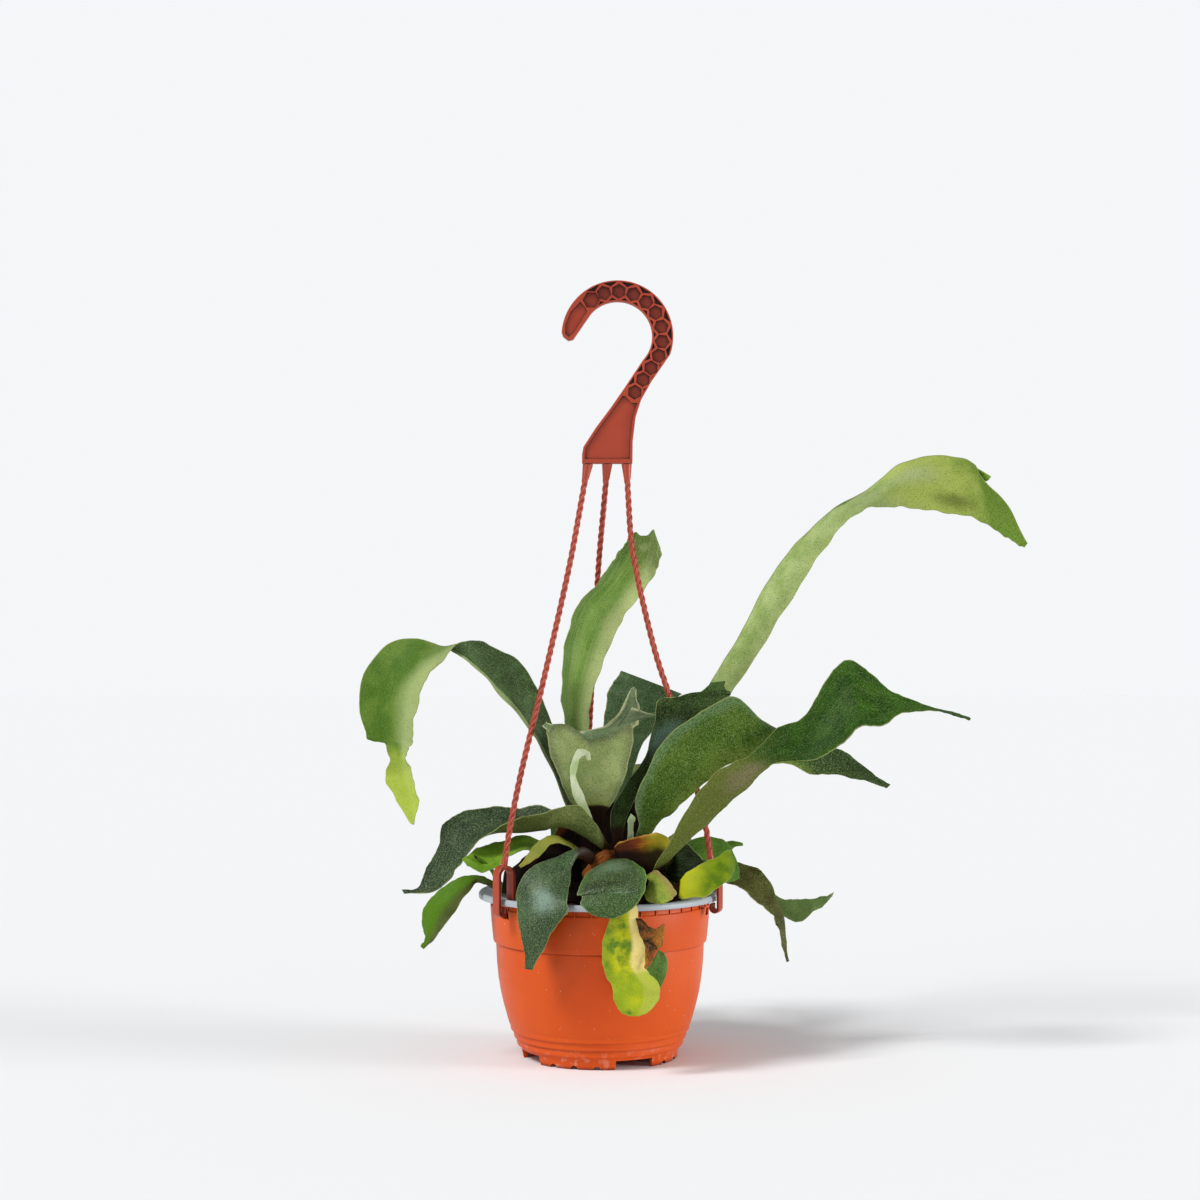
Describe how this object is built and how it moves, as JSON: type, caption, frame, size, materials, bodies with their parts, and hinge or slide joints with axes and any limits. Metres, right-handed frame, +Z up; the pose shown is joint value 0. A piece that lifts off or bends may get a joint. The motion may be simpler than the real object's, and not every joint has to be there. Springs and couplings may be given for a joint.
{
  "type": "staghorn fern in a hanging pot",
  "caption": "Staghorn fern with antler-like fronds in a round plastic pot, hung by a flat hook with twisted arms that clip on to the rim.",
  "frame": {"origin": "centre of the whole object's box, on the surface that the pot stands on; the pot's axis is at x = -0.0674, y = -0.0195", "axes": "+Z up, the front of the pot towards -Y, +X to the right seen from the front"},
  "size_m": [0.4649, 0.2301, 0.535],
  "materials": {
    "pot_plastic": "satin",
    "liner_plastic": "satin",
    "hanger_plastic": "satin",
    "bark_mix": "matte",
    "crown_brown": "matte",
    "leaf_dark": "satin",
    "leaf_green": "satin",
    "leaf_pale": "satin",
    "leaf_yellow": "satin"
  },
  "bodies": {
    "root": {"outer_pot": "pot_plastic", "liner_pot": "liner_plastic", "hanger_hook": "hanger_plastic", "hanger_arm_left": "hanger_plastic", "hanger_arm_right": "hanger_plastic", "hanger_arm_back": "hanger_plastic", "soil": "bark_mix", "crown": "crown_brown", "frond_arch_left": "leaf_dark", "frond_upright_back": "leaf_pale", "frond_tall_right": "leaf_pale", "frond_forked_right": "leaf_green", "frond_broad_right": "leaf_green", "frond_dark_right": "leaf_dark", "frond_trough": "leaf_green", "frond_behind_trough": "leaf_dark", "crozier_pale": "leaf_pale", "crozier_short": "leaf_pale", "frond_low_left": "leaf_dark", "frond_lower_left": "leaf_green", "leaf_bright_left": "leaf_green", "leaf_pale_strip": "leaf_yellow", "frond_front_left": "leaf_dark", "leaf_round_front": "leaf_dark", "frond_front_droop": "leaf_yellow", "leaf_small_front": "leaf_green", "leaf_yellow_right": "leaf_yellow", "frond_right_droop": "leaf_dark", "leaf_right_beyond": "leaf_green", "leaf_right_back": "leaf_green", "leaf_dark_front_right": "leaf_dark", "frond_back_left": "leaf_green", "frond_back_middle": "leaf_dark", "frond_back_right": "leaf_green"}
  },
  "joints": []
}
